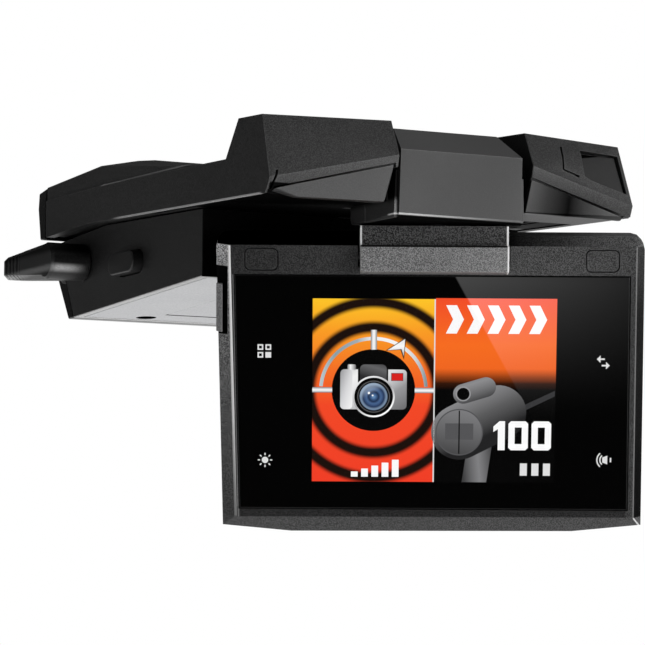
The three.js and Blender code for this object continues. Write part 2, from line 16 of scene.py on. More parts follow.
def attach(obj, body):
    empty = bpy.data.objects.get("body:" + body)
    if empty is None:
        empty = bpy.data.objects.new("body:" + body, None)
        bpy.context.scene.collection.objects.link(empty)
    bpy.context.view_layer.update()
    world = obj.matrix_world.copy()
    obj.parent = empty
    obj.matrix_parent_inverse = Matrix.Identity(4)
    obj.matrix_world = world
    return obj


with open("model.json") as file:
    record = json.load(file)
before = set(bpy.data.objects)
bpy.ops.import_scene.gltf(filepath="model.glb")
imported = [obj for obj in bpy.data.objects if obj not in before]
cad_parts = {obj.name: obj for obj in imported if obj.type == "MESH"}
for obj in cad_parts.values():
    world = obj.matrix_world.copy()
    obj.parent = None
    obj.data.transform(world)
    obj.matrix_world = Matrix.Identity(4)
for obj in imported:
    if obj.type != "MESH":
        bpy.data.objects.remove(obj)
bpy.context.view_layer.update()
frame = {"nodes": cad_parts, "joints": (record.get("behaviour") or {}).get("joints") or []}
scene = bpy.context.scene
nodes = frame["nodes"]
MM = 0.001

# ---------------------------------------------------------------- camera
LENS = 195.35
CAMERA_AT = Vector((-0.33204, -0.63261, -0.10311))
CAMERA_RIGHT = Vector((0.89073, -0.45448, 0.00608))
CAMERA_UP = Vector((-0.04738, -0.07953, 0.99571))


def make_camera():
    data = bpy.data.cameras.new("camera")
    data.lens = LENS
    data.sensor_width = 36
    data.clip_start, data.clip_end = 0.05, 20
    camera = bpy.data.objects.new("camera", data)
    scene.collection.objects.link(camera)
    back = CAMERA_RIGHT.cross(CAMERA_UP)
    turn = Matrix((CAMERA_RIGHT, CAMERA_UP, back)).transposed()
    camera.matrix_world = Matrix.Translation(CAMERA_AT) @ turn.to_4x4()
    scene.camera = camera


make_camera()

# ---------------------------------------------------------------- driving places
TILT_JOINT = next(joint for joint in frame["joints"] if joint["name"] == "display_tilt")
SWIVEL_REST = math.radians(-27)
TILT_REST = math.radians(16)
DISPLAY = (
    Matrix.Translation(Vector(TILT_JOINT["pos_m"]))
    @ Matrix.Rotation(SWIVEL_REST, 4, "Z")
    @ Matrix.Rotation(TILT_REST, 4, "X")
)
# From here millimetres. A leaning line is its place at zero and its change per millimetre along.
# The display: its flat face, the creases and edges on it, the slider's slot and the joint behind it.
FACE_TOP, FACE_BOTTOM = 3.1, -51.8
SLOPE_START = -4.43
LEFT_CREASE = (-40.5, 0.0255)
RIGHT_CREASE = (40.0, 0.0073)
CORNER_CREASE = (3.952, -1.38)
GLASS_LEFT = (-39.8, 0.0233)
GLASS_SIDE, GLASS_TOP, GLASS_FRONT = 38.8, -2.8, -4.5
SLOT_EDGE, SLOT_BOTTOM, SLOT_TOP = -40.75, -14.95, -1.15
SLIDER_EDGE = -41.8
HINGE_JOINT, NECK_SIDE = 3.4, 14.3
# The main unit: where the pad is in its frame, then the edges that the shades follow.
PAD_MIDDLE, PAD_TOP = 36.5, 16.7
SIDE_FACE, LEFT_POD_END, RIGHT_POD_END, POD_FLOOR = -40.1, -14.4, 16.55, 2.0
WING_EDGE, LEDGE = (0.1, 0.03605), (9.14, 0.0164)
BRACKET_SIDE, BRACKET_FLOOR, BRACKET_STRIP = -13.075, -2.55, 9.95
NEAR_WALL, TRAY_EDGE = 37.55, (-10.525, -0.04545)
WEDGE_EDGE = (7.63, 0.13)
HATCH_EDGE, HATCH_HALF = 92.2, 19.4
FAR_SCREWS, WELL_RADIUS = (21.6, 97.8), math.sqrt(5)
PLUG_FLANK, PLUG_SHOULDER = -5.7, -2.4

# ---------------------------------------------------------------- node helpers


def new_material(name):
    material = bpy.data.materials.new(name)
    material.use_nodes = True
    material.node_tree.nodes.clear()
    output = material.node_tree.nodes.new("ShaderNodeOutputMaterial")
    shader = material.node_tree.nodes.new("ShaderNodeBsdfPrincipled")
    material.node_tree.links.new(shader.outputs["BSDF"], output.inputs["Surface"])
    return material, Tree(material.node_tree), shader


class Tree:
    """Short names for making and linking shader nodes."""

    def __init__(self, tree):
        self.tree = tree
        self.coords = None

    def make(self, kind, **values):
        node = self.tree.nodes.new("ShaderNode" + kind)
        for key, value in values.items():
            setattr(node, key, value)
        return node

    def link(self, source, target):
        self.tree.links.new(source, target)

    def feed(self, socket, value):
        if isinstance(value, bpy.types.NodeSocket):
            self.link(value, socket)
        else:
            socket.default_value = value

    def position(self):
        if self.coords is None:
            self.coords = self.make("TexCoord").outputs["Object"]
        return self.coords

    def noise(self, scale, detail=2.0, roughness=0.5, vector=None):
        node = self.make("TexNoise")
        self.link(vector or self.position(), node.inputs["Vector"])
        node.inputs["Scale"].default_value = scale
        node.inputs["Detail"].default_value = detail
        node.inputs["Roughness"].default_value = roughness
        return node.outputs["Fac"]

    def ramp(self, value, low, high, to_low=0.0, to_high=1.0):
        node = self.make("MapRange")
        node.interpolation_type = "SMOOTHSTEP"
        self.feed(node.inputs["Value"], value)
        for key, number in (("From Min", low), ("From Max", high), ("To Min", to_low), ("To Max", to_high)):
            self.feed(node.inputs[key], number)
        return node.outputs["Result"]

    def math(self, operation, a, b=0.0):
        node = self.make("Math", operation=operation)
        self.feed(node.inputs[0], a)
        self.feed(node.inputs[1], b)
        return node.outputs["Value"]

    def mix(self, factor, a, b):
        node = self.make("Mix", data_type="RGBA")
        self.feed(node.inputs["Factor"], factor)
        self.feed(node.inputs["A"], a)
        self.feed(node.inputs["B"], b)
        return node.outputs["Result"]

    def bump(self, height, depth):
        node = self.make("Bump")
        self.link(height, node.inputs["Height"])
        node.inputs["Distance"].default_value = depth
        node.inputs["Strength"].default_value = 1
        return node.outputs["Normal"]

    def axes(self, vector):
        """The three parts of a place, in millimetres."""
        split = self.make("SeparateXYZ")
        self.link(vector, split.inputs["Vector"])
        return [self.math("MULTIPLY", split.outputs[axis], 1 / MM) for axis in "XYZ"]

    def unit_axes(self):
        """Millimetres in the main unit's frame, for a piece drawn in the row frame."""
        x, y, z = self.axes(self.position())
        return x, self.math("ADD", y, PAD_MIDDLE), self.math("ADD", z, PAD_TOP)

    def display_axes(self):
        """Millimetres in the display's frame, for a piece drawn in the row frame."""
        node = self.make("Mapping", vector_type="TEXTURE")
        self.link(self.position(), node.inputs["Vector"])
        node.inputs["Location"].default_value = DISPLAY.to_translation()
        node.inputs["Rotation"].default_value = DISPLAY.to_euler()
        return self.axes(node.outputs["Vector"])

    def place(self, value, low, high):
        """0 at low, 1 at high and a straight line between."""
        node = self.make("MapRange")
        self.link(value, node.inputs["Value"])
        node.inputs["From Min"].default_value = low
        node.inputs["From Max"].default_value = high
        return node.outputs["Result"]

    def fall(self, value, low, high):
        """1 up to low, 0 from high."""
        return self.ramp(value, low, high, 1.0, 0.0)

    def step(self, value, edge, soft):
        """0 below an edge, 1 above it, softened by so much each way."""
        return self.ramp(value, edge - soft, edge + soft)

    def drop(self, value, edge, soft):
        """1 below an edge, 0 above it, softened by so much each way."""
        return self.fall(value, edge - soft, edge + soft)

    def total(self, *values):
        result = values[0]
        for value in values[1:]:
            result = self.math("ADD", result, value)
        return result

    def product(self, *values):
        result = values[0]
        for value in values[1:]:
            result = self.math("MULTIPLY", result, value)
        return result

    def squares(self, a, b):
        return self.total(self.product(a, a), self.product(b, b))

    def off_line(self, value, along, line):
        """How far a value is above a leaning line."""
        return self.math("SUBTRACT", value, self.total(self.product(along, line[1]), line[0]))

    def choose(self, factor, a, b):
        """a where the factor is 0, b where it is 1."""
        node = self.make("Mix", data_type="FLOAT")
        for key, value in (("Factor", factor), ("A", a), ("B", b)):
            self.feed(node.inputs[key], value)
        return node.outputs["Result"]

    def stripe(self, value, half, soft=0.12):
        """1 within a half width of zero."""
        return self.fall(self.math("ABSOLUTE", value), half, half + soft)

    def curve(self, value, stops):
        """A number that follows straight lines between (value, number) stops."""
        node = self.make("FloatCurve")
        first, last = stops[0][0], stops[-1][0]
        self.link(self.place(value, first, last), node.inputs["Value"])
        top = max(number for _, number in stops)
        curve = node.mapping.curves[0]
        while len(curve.points) < len(stops):
            curve.points.new(0.5, 0.5)
        for point, (at, number) in zip(curve.points, stops):
            point.location = ((at - first) / (last - first), number / top)
            point.handle_type = "VECTOR"
        node.mapping.update()
        return self.math("MULTIPLY", node.outputs["Value"], top)

    def edges(self, radius):
        """1 on rounded edges, 0 on flats."""
        bevel = self.make("Bevel", samples=4)
        bevel.inputs["Radius"].default_value = radius
        geometry = self.make("NewGeometry")
        dot = self.make("VectorMath", operation="DOT_PRODUCT")
        self.link(bevel.outputs["Normal"], dot.inputs[0])
        self.link(geometry.outputs["Normal"], dot.inputs[1])
        return self.ramp(dot.outputs["Value"], 0.995, 0.9)


def grey(value, tint=0.0):
    return (value, value, value * (1 + tint), 1)


def linear(*channels):
    """A display colour, each channel from 0 to 255, as linear light."""
    return tuple(((c / 255 + 0.055) / 1.055) ** 2.4 if c > 10 else c / 3294.6 for c in channels) + (1,)


# ---------------------------------------------------------------- materials


def moulded_plastic(
        name, base, roughness=0.5, speckle=0.5, grain=4600, depth=0.012, edge_highlight=0.5, specular=0.5, edge=2.4,
        shade=None):
    """Sandblasted moulding: fine grain in colour and height, slow changes in roughness, and painted
    highlights on rounded edges.

    shade, if given, takes the tree and returns (factor, line): a factor of painted light and shade on
    colour and gloss, and how far the colour turns to a light tone for painted highlight lines.
    """
    material, tree, shader = new_material(name)
    fine = tree.noise(grain, 1.5, 0.55)
    broad = tree.noise(55, 3)
    smudge = tree.noise(18, 2)
    dark = grey(base * (1 - speckle), 0.01)
    light = grey(base * (1 + speckle * 1.3), 0.01)
    colour = tree.mix(tree.ramp(fine, 0.4, 0.62), dark, light)
    colour = tree.mix(tree.ramp(broad, 0.35, 0.75, 0, 0.2), colour, grey(base * 1.3, 0.01))
    # Painted highlight on the rounded edges, broken up by noise, in a tone the edge argument times the base;
    # the same mask makes the edges a little glossier.
    painted_highlight = tree.product(tree.edges(0.4 * MM), tree.ramp(tree.noise(420, 2), 0.35, 0.6, 0.35, 1.0), edge_highlight)
    colour = tree.mix(painted_highlight, colour, grey(base * edge, 0.01))
    rough = tree.ramp(smudge, 0.3, 0.7, roughness - 0.05, roughness + 0.06)
    rough = tree.math("ADD", rough, tree.ramp(fine, 0.3, 0.7, -0.03, 0.03))
    rough = tree.math("SUBTRACT", rough, tree.math("MULTIPLY", painted_highlight, 0.12))
    if shade is None:
        shader.inputs["Specular IOR Level"].default_value = specular
    else:
        # Painted light and shade scale the colour and gloss; painted highlight lines turn the colour light.
        factor, line = shade(tree)
        scale = tree.make("VectorMath", operation="SCALE")
        tree.link(colour, scale.inputs[0])
        tree.feed(scale.inputs["Scale"], factor)
        colour = tree.mix(line, scale.outputs["Vector"], grey(0.85))
        gloss = tree.math("MINIMUM", factor, 1.0)
        tree.link(tree.math("MULTIPLY", gloss, specular), shader.inputs["Specular IOR Level"])
    tree.link(colour, shader.inputs["Base Color"])
    tree.link(rough, shader.inputs["Roughness"])
    tree.link(tree.bump(fine, depth * MM), shader.inputs["Normal"])
    return material


def polished_black(name, base, roughness=0.05, haze=0.02, ripple=0.002):
    material, tree, shader = new_material(name)
    dust = tree.ramp(tree.noise(900, 3, 0.7), 0.62, 0.8, 0, 0.3)
    tree.link(tree.mix(dust, grey(base), grey(base * 3)), shader.inputs["Base Color"])
    film = tree.noise(35, 3)
    tree.link(tree.ramp(film, 0.35, 0.7, roughness, roughness + haze), shader.inputs["Roughness"])
    tree.link(tree.bump(tree.noise(120, 1), ripple * MM), shader.inputs["Normal"])
    return material


def metal(name, colour, roughness, depth=0.006, stretch=(1, 1, 1), joints_and_shade=None):
    """Bead-blasted or turned metal.

    The last argument, if given, takes the tree and returns how far the metal turns black: dark joints, and
    painted shade in wells.
    """
    material, tree, shader = new_material(name)
    mapping = tree.make("Mapping")
    tree.link(tree.position(), mapping.inputs["Vector"])
    mapping.inputs["Scale"].default_value = stretch
    fine = tree.noise(2600, 2, 0.6, mapping.outputs["Vector"])
    broad = tree.noise(70, 3)
    shade = tuple(c * 0.84 for c in colour) + (1,)
    tone = tree.mix(tree.ramp(fine, 0.3, 0.7), shade, colour + (1,))
    shader.inputs["Metallic"].default_value = 1
    if joints_and_shade is not None:
        # Black for dark joints, and painted shade in wells.
        black = joints_and_shade(tree)
        tone = tree.mix(black, tone, grey(0.003))
        bare = tree.math("SUBTRACT", 1.0, black)
        tree.link(bare, shader.inputs["Metallic"])
        tree.link(tree.product(bare, 0.5), shader.inputs["Specular IOR Level"])
    tree.link(tone, shader.inputs["Base Color"])
    tree.link(tree.ramp(broad, 0.3, 0.7, roughness - 0.05, roughness + 0.07), shader.inputs["Roughness"])
    tree.link(tree.bump(fine, depth * MM), shader.inputs["Normal"])
    return material


def soft_rubber(name, base, roughness):
    material, tree, shader = new_material(name)
    fine = tree.noise(2400, 3, 0.65)
    dust = tree.ramp(tree.noise(260, 4, 0.7), 0.55, 0.75, 0, 0.35)
    tree.link(tree.mix(dust, grey(base), grey(base * 2.2)), shader.inputs["Base Color"])
    rough = tree.ramp(tree.noise(90, 2), 0.3, 0.7, roughness - 0.06, roughness + 0.08)
    tree.link(rough, shader.inputs["Roughness"])
    tree.link(tree.bump(fine, 0.01 * MM), shader.inputs["Normal"])
    shader.inputs["Sheen Weight"].default_value = 0.15
    return material


def circuit_board(name):
    material, tree, shader = new_material(name)
    tracks = tree.make("TexBrick")
    tree.link(tree.position(), tracks.inputs["Vector"])
    tracks.inputs["Scale"].default_value = 240
    tracks.inputs["Color1"].default_value = (0.012, 0.10, 0.035, 1)
    tracks.inputs["Color2"].default_value = (0.018, 0.14, 0.05, 1)
    tracks.inputs["Mortar"].default_value = (0.03, 0.2, 0.08, 1)
    tree.link(tracks.outputs["Color"], shader.inputs["Base Color"])
    tree.link(tree.ramp(tree.noise(300, 2), 0.3, 0.7, 0.3, 0.45), shader.inputs["Roughness"])
    tree.link(tree.bump(tracks.outputs["Fac"], 0.01 * MM), shader.inputs["Normal"])
    return material


def ceramic(name):
    material, tree, shader = new_material(name)
    fine = tree.noise(1800, 3, 0.6)
    tree.link(tree.mix(fine, (0.5, 0.45, 0.34, 1), (0.68, 0.62, 0.5, 1)), shader.inputs["Base Color"])
    tree.link(tree.ramp(fine, 0.3, 0.7, 0.4, 0.55), shader.inputs["Roughness"])
    tree.link(tree.bump(fine, 0.01 * MM), shader.inputs["Normal"])
    return material


def cover_shade(tree):
    """Painted shade under the left pod and up the right pod's end; painted highlights on the wing's lower
    edge and ledge.
    """
    x, y, z = tree.unit_axes()
    under_pod = tree.product(tree.drop(x, LEFT_POD_END, 0.2), tree.drop(z, POD_FLOOR, 0.1),
                             tree.step(x, SIDE_FACE - 0.3, 0.1))
    pod_end = tree.product(tree.step(x, RIGHT_POD_END - 0.2, 0.05), tree.drop(x, RIGHT_POD_END + 0.2, 0.05))
    factor = tree.choose(pod_end, tree.choose(under_pod, 1.0, 0.05), tree.ramp(z, 4, 14, 0.1, 0.6))
    side = tree.drop(x, SIDE_FACE, 0.1)
    lower = tree.product(side, tree.stripe(tree.off_line(z, y, WING_EDGE), 0.12),
                         tree.step(y, 2, 1), tree.drop(y, 71, 3), 0.5)
    upper = tree.product(side, tree.stripe(tree.off_line(z, y, LEDGE), 0.1),
                         tree.step(y, 34.5, 1.5), tree.drop(y, 79, 0.5), 0.2)
    return factor, tree.total(lower, upper)


def bezel_shade(tree):
    """Painted shade and light on the slopes: shade above, light at the left, shade at the right; painted
    shade in the slider's slot; painted light and shade on the strips round the glass; painted highlights on
    the creases.
    """
    x, y, z = tree.display_axes()
    down = tree.math("SUBTRACT", FACE_TOP, z)
    left_crease = tree.off_line(x, down, LEFT_CREASE)
    right_crease = tree.off_line(x, down, RIGHT_CREASE)
    above = tree.step(z, FACE_TOP, 0.1)
    under = tree.drop(z, FACE_BOTTOM, 0.1)
    at_left = tree.drop(left_crease, 0, 0.1)
    at_right = tree.step(right_crease, 0, 0.1)

    # Painted light and shade on the flat strips round the glass: below it and at its right, at its left,
    # above it.
    strips = tree.choose(tree.step(x, GLASS_SIDE, 0.15), tree.ramp(z, -49.9, -49.7, 0.42, 1.0), 0.8)
    strips = tree.choose(tree.drop(x, -GLASS_SIDE, 0.2), strips, 0.3)
    top_strip = tree.curve(x, [(-41, 0.45), (-15, 0.75), (15, 1.15), (24, 1.25), (41, 0.9)])
    flat = tree.choose(tree.step(z, GLASS_TOP, 0.1), strips, top_strip)

    # Painted shade and light on the slopes: the top one dark at the left, the left one light, the right one
    # dark.
    top_slope = tree.curve(x, [(-43, 0.0), (14, 0.0), (25, 0.5), (33, 1.2), (42, 2.0)])
    left_slope = tree.curve(z, [
        (-53, 0.8), (-45, 1.1), (-30, 2.3), (-15, 4.0), (-1.5, 8.0), (3, 12.0), (4.5, 3.0)])
    right_slope = tree.curve(z, [(-53, 0.05), (-40, 0.06), (-10, 0.15), (3, 0.5), (4.5, 1.0)])
    sides = tree.choose(at_left, tree.choose(at_right, 1.0, right_slope), left_slope)
    slopes = tree.choose(above, tree.choose(under, sides, 1.05), top_slope)

    # Painted shade in the slider's slot.
    slot = tree.product(tree.drop(x, SLOT_EDGE, 0.05), tree.step(z, SLOT_BOTTOM, 0.05),
                        tree.drop(z, SLOT_TOP, 0.05))
    factor = tree.choose(slot, tree.choose(tree.step(y, SLOPE_START, 0.03), flat, slopes), 0.05)

    fade = tree.curve(z, [(-53, 0.2), (-45, 0.35), (-30, 0.8), (-8, 1.0), (4, 1.0)])
    inside = tree.product(tree.drop(z, FACE_TOP - 0.05, 0.05), tree.step(z, FACE_BOTTOM, 0.2))
    # Painted highlights along the creases, the glass's left edge and the lower right corner.
    lines = tree.total(
        tree.product(tree.stripe(left_crease, 0.2), fade, inside),
        tree.product(tree.stripe(right_crease, 0.08), inside, 0.13),
        tree.product(tree.stripe(tree.off_line(x, down, GLASS_LEFT), 0.1), tree.drop(y, SLOPE_START, 0.03),
                     tree.drop(z, GLASS_TOP, 0.1), 0.15),
        tree.product(tree.stripe(tree.off_line(z, x, CORNER_CREASE), 0.2), at_right, under, 0.8))
    return factor, lines


def fascia_shade(tree):
    """A painted dark reflection in the middle of the right pod's panel."""
    x, _, _ = tree.unit_axes()
    return tree.curve(x, [(16, 0.8), (21, 0.3), (26, 0.03), (30, 0.35), (40, 1.1)]), 0.0


def hinge_cover_shade(tree):
    """A dark joint along the top, slightly darker in the middle and lighter at the right, and a painted
    highlight on the rim at the right.
    """
    x, _, z = tree.display_axes()
    across = tree.curve(x, [(-15, 1.0), (0, 0.92), (15, 1.08)])
    factor = tree.choose(tree.step(z, HINGE_JOINT, 0.05), across, 0.05)
    return factor, tree.product(tree.step(x, NECK_SIDE, 0.1), 0.8)


def neck_shade(tree):
    """Darker away from the front, with painted highlights on the rims at both sides."""
    x, y, _ = tree.display_axes()
    rim = tree.step(tree.math("ABSOLUTE", x), NECK_SIDE - 0.025, 0.075)
    return tree.choose(tree.step(y, -5.5, 0.5), 1.0, 0.5), rim


def bracket_shade(tree):
    """Painted light and shade: a lighter strip over the face, painted shade on the underside and up the
    left side, lighter at its foot, and a painted highlight along the bottom edge.
    """
    x, y, z = tree.unit_axes()
    face = tree.choose(tree.step(z, BRACKET_STRIP, 0.15), 0.6, 0.84)
    front = tree.choose(tree.drop(z, BRACKET_FLOOR - 0.275, 0.075), face, 0.04)
    side = tree.ramp(z, -1, 1, 1.4, 0.05)
    line = tree.product(tree.stripe(tree.math("SUBTRACT", z, BRACKET_FLOOR), 0.1), tree.drop(y, 0.5, 0.5),
                        tree.ramp(x, -13, 12, 0.55, 0.15))
    return tree.choose(tree.drop(x, BRACKET_SIDE, 0.075), front, side), line


def shell_shade(tree):
    """Painted shade makes the near wall, behind the display, black; the bottom rim is as light as the plate
    inside it.
    """
    _, y, z = tree.unit_axes()
    low = tree.drop(tree.off_line(z, y, TRAY_EDGE), 0, 0.075)
    rim = tree.product(low, tree.step(y, NEAR_WALL + 0.25, 0.2), 0.75)
    return tree.choose(tree.drop(y, NEAR_WALL, 0.15), 0.9, 0.05), rim


def window_shade(tree):
    """A black wedge of painted shade along the top, deepest at the inner end."""
    x, _, z = tree.unit_axes()
    return tree.choose(tree.ramp(tree.off_line(z, x, WEDGE_EDGE), 0, 0.15), 1.0, 0.02), 0.0


def plate_joints_and_shade(tree):
    """Dark joint along the hatch's far edge and painted shade in the wells round the two far screws."""
    x, y, _ = tree.unit_axes()
    joint = tree.product(tree.stripe(tree.math("SUBTRACT", y, HATCH_EDGE), 0.45), tree.stripe(x, HATCH_HALF))
    across = tree.math("SUBTRACT", tree.math("ABSOLUTE", x), FAR_SCREWS[0])
    along = tree.math("SUBTRACT", y, FAR_SCREWS[1])
    return tree.total(joint, tree.drop(tree.squares(across, along), WELL_RADIUS ** 2, 0.2))


def plug_shade(tree):
    """Painted shade above, with a painted highlight band along the lower flank of the round part."""
    x, _, z = tree.unit_axes()
    round_part = tree.product(tree.step(x, -45.25, 1.25), tree.drop(x, -39.5, 2.5))
    painted_highlight = tree.product(tree.stripe(tree.math("SUBTRACT", z, PLUG_FLANK), 0.1, 1.1), round_part,
                          tree.ramp(tree.noise(5200, 2), 0.3, 0.7, 0.55, 1.0))
    return tree.choose(tree.step(z, PLUG_SHOULDER, 0.8), 1.1, 0.15), painted_highlight


def slider_shade(tree):
    """A painted highlight along the edge towards the screen."""
    x, _, z = tree.display_axes()
    past_edge = tree.off_line(x, z, (SLIDER_EDGE, -LEFT_CREASE[1]))
    return 1.0, tree.product(tree.ramp(past_edge, 0, 0.3), 0.7)


# The cover's rounded edges take a stronger painted highlight.
COVER = moulded_plastic(
    "cover_plastic", 0.015, roughness=0.46, speckle=0.9, depth=0.035, edge=5, shade=cover_shade)
BRACKET = moulded_plastic("bracket_plastic", 0.020, roughness=0.46, speckle=0.3, shade=bracket_shade)
BEZEL = moulded_plastic("bezel_plastic", 0.033, roughness=0.46, speckle=0.95, depth=0.045, shade=bezel_shade)
FASCIA = moulded_plastic("fascia_plastic", 0.02, roughness=0.42, speckle=0.3, specular=0.35)
FASCIA_SATIN = moulded_plastic("fascia_satin", 0.013, roughness=0.35, speckle=0.2, shade=fascia_shade)
HINGE_COVER = moulded_plastic(
    "hinge_cover_plastic", 0.16, roughness=0.4, speckle=0.6, depth=0.02, shade=hinge_cover_shade)
SHELL = moulded_plastic("shell_plastic", 0.009, roughness=0.5, speckle=0.95, depth=0.06, shade=shell_shade)
SLIDER = moulded_plastic("slider_plastic", 0.17, roughness=0.4, shade=slider_shade)
BLACK = moulded_plastic("black_plastic", 0.008, roughness=0.35, speckle=0.3, edge_highlight=0.3)
WINDOW = moulded_plastic(
    "sensor_window_plastic", 0.008, roughness=0.42, speckle=0.15, specular=0.35, shade=window_shade)
NECK = moulded_plastic(
    "neck_plastic", 0.1, roughness=0.5, speckle=0.85, grain=3800, depth=0.04, shade=neck_shade)
GLOSS = polished_black("gloss_black", 0.004)
LENS_RED = polished_black("dark_lens", 0.008)
GLASS = polished_black("touch_glass", 0.0015, roughness=0.004, haze=0.004, ripple=0.0002)
SILVER = metal("silver_metal", (0.74, 0.745, 0.76), 0.42, joints_and_shade=plate_joints_and_shade)
STEEL = metal("screw_steel", (0.5, 0.5, 0.51), 0.32, depth=0.003)
DARK_STEEL = metal("blackened_steel", (0.008, 0.008, 0.009), 0.5, depth=0.003)
BRASS = metal("yellow_brass", (0.78, 0.58, 0.28), 0.3, stretch=(1, 1, 12))
RUBBER = soft_rubber("soft_rubber", 0.009, 0.5)
SCREW_BLACK = moulded_plastic("blackened_screw", 0.004, roughness=0.6, edge_highlight=0.1, specular=0.05)
PLUG = moulded_plastic(
    "plug_plastic", 0.012, roughness=0.36, speckle=0.6, depth=0.03, edge_highlight=0.4, shade=plug_shade)
BOARD = circuit_board("circuit_board")
CERAMIC = ceramic("antenna_ceramic")

FINISHES = {
    COVER: ["top_cover"],
    BRACKET: ["bracket_front", "bracket_rear"],
    BEZEL: ["display_bezel", "display_back", "screw_cover_left", "screw_cover_right"],
    SLIDER: ["power_slider"],
    FASCIA: ["near_fascia_left"],
    FASCIA_SATIN: ["near_fascia_right"],
    WINDOW: ["rear_laser_window"],
    HINGE_COVER: ["hinge_cover"],
    NECK: ["hinge_arm"],
    SHELL: ["lower_case", "base_tray", "mounting_block"],
    BLACK: ["side_button", "speaker", "dc_jack", "rear_laser_sensor", "processor_chip"],
    GLOSS: ["front_window", "case_end_cap", "lcd_panel"],
    LENS_RED: ["front_laser_lens"],
    GLASS: ["display_glass"],
    SILVER: ["bottom_plate", "bottom_hatch"],
    DARK_STEEL: ["swivel_shaft"],
    SCREW_BLACK: [f"case_screw_{index}" for index in (1, 2, 3, 4)],
    STEEL: ["tilt_pin", "plug_barrel", "shield_can", "microwave_module"]
    + [f"display_screw_{index}" for index in (1, 2, 3, 4)],
    BRASS: ["swivel_nut", "radar_horn"],
    BOARD: ["main_board", "laser_board", "display_board"],
    CERAMIC: ["gps_antenna"],
    RUBBER: ["adhesive_pad"],
    PLUG: ["plug_housing", "plug_strain_relief"],
}
# Edge radius in millimetres, where it isn't the usual one.
RADIUS = {
    "top_cover": 0.45, "lower_case": 0.6, "bracket_front": 0.5, "bracket_rear": 0.5, "display_bezel": 0.3,
    "display_back": 0.5, "display_glass": 0.12, "hinge_cover": 0.22, "hinge_arm": 0.3, "bottom_plate": 0.25,
    "plug_housing": 0.35, "plug_strain_relief": 0.25, "side_button": 0.35, "front_window": 0.3,
    "case_end_cap": 0.4, "near_fascia_left": 0.2, "near_fascia_right": 0.2, "screw_cover_left": 0.12,
    "screw_cover_right": 0.12,
}
USUAL_RADIUS = 0.15
WELD_DISTANCE = 0.001 * MM
FLAT_ANGLE = math.radians(0.8)
EDGE_ANGLE = math.radians(18)


def round_edges(node, radius):
    """Rounds a faceted solid's edges with modifiers; its own mesh stays as it is."""
    node.modifiers.new("weld", "WELD").merge_threshold = WELD_DISTANCE
    flat = node.modifiers.new("flat", "DECIMATE")
    flat.decimate_type = "DISSOLVE"
    flat.angle_limit = FLAT_ANGLE
    bevel = node.modifiers.new("bevel", "BEVEL")
    bevel.width = radius * MM
    bevel.segments = 3
    bevel.limit_method = "ANGLE"
    bevel.angle_limit = EDGE_ANGLE
    level = node.modifiers.new("level", "WEIGHTED_NORMAL")
    level.mode = "FACE_AREA"
    level.weight = 100
    for polygon in node.data.polygons:
        polygon.use_smooth = True


for finish, names in FINISHES.items():
    for name in names:
        node = nodes[name]
        node.data.materials.clear()
        node.data.materials.append(finish)
        round_edges(node, RADIUS.get(name, USUAL_RADIUS))

# ---------------------------------------------------------------- screen
# Each print stands one film thicker than the one under it and reaches a little into the glass.
FILM, SINK = 0.012, 0.004


def print_on_glass(name, shapes):
    """Thin closed prints on the glass. Each shape is (outline, layer, material), lowest layer 0."""
    mesh = bmesh.new()
    finishes = []
    for outline, layer, finish in shapes:
        if finish not in finishes:
            finishes.append(finish)
        index = finishes.index(finish)
        near = GLASS_FRONT - FILM * (layer + 1)
        far = GLASS_FRONT + SINK
        front = [mesh.verts.new((x * MM, near * MM, z * MM)) for x, z in outline]
        back = [mesh.verts.new((x * MM, far * MM, z * MM)) for x, z in outline]
        faces = [mesh.faces.new(front), mesh.faces.new(back[::-1])]
        for a in range(len(outline)):
            b = (a + 1) % len(outline)
            faces.append(mesh.faces.new((front[b], front[a], back[a], back[b])))
        for face in faces:
            face.material_index = index
    bmesh.ops.recalc_face_normals(mesh, faces=mesh.faces)
    data = bpy.data.meshes.new(name)
    mesh.to_mesh(data)
    mesh.free()
    for finish in finishes:
        data.materials.append(finish)
    piece = bpy.data.objects.new(name, data)
    scene.collection.objects.link(piece)
    piece.matrix_world = DISPLAY
    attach(piece, "display")


def under_gloss(shader):
    """A black ground with the glass's gloss over it."""
    shader.inputs["Base Color"].default_value = (0.002, 0.002, 0.002, 1)
    shader.inputs["Roughness"].default_value = 0.005
    shader.inputs["Specular IOR Level"].default_value = 1.0
    shader.inputs["IOR"].default_value = 1.66


def lit(name, colour):
    """A printed or lit colour under the glass's gloss."""
    material, tree, shader = new_material(name)
    under_gloss(shader)
    shader.inputs["Emission Color"].default_value = colour
    pixels = tree.ramp(tree.noise(5000, 1), 0.2, 0.8, 0.97, 1.03)
    tree.link(pixels, shader.inputs["Emission Strength"])
    return material


def picture(name, paint):
    """A lit print. paint takes the tree and the millimetres across and up, and returns the colour."""
    material, tree, shader = new_material(name)
    x, _, z = tree.axes(tree.position())
    tree.link(paint(tree, x, z), shader.inputs["Emission Color"])
    shader.inputs["Emission Strength"].default_value = 1
    under_gloss(shader)
    return material


def colour_ramp(tree, value, stops):
    """A colour that follows (place, tone) stops; a tone's channels run from 0 to 255."""
    node = tree.make("ValToRGB")
    tree.link(value, node.inputs["Fac"])
    elements = node.color_ramp.elements
    while len(elements) < len(stops):
        elements.new(0.5)
    for element, (place, tone) in zip(elements, stops):
        element.position = place
        element.color = linear(*tone)
    return node.outputs["Color"]


# Each lit panel: left, right, bottom, top.
LEFT_PANEL = (-23.9, 0.2, -44.6, -7.5)
RIGHT_PANEL = (0.45, 24.45, -44.6, -7.3)
TARGET = (-11.75, -25.95)
RING_RADII = (12.7, 17.8)
LENS_RADIUS = 2.9


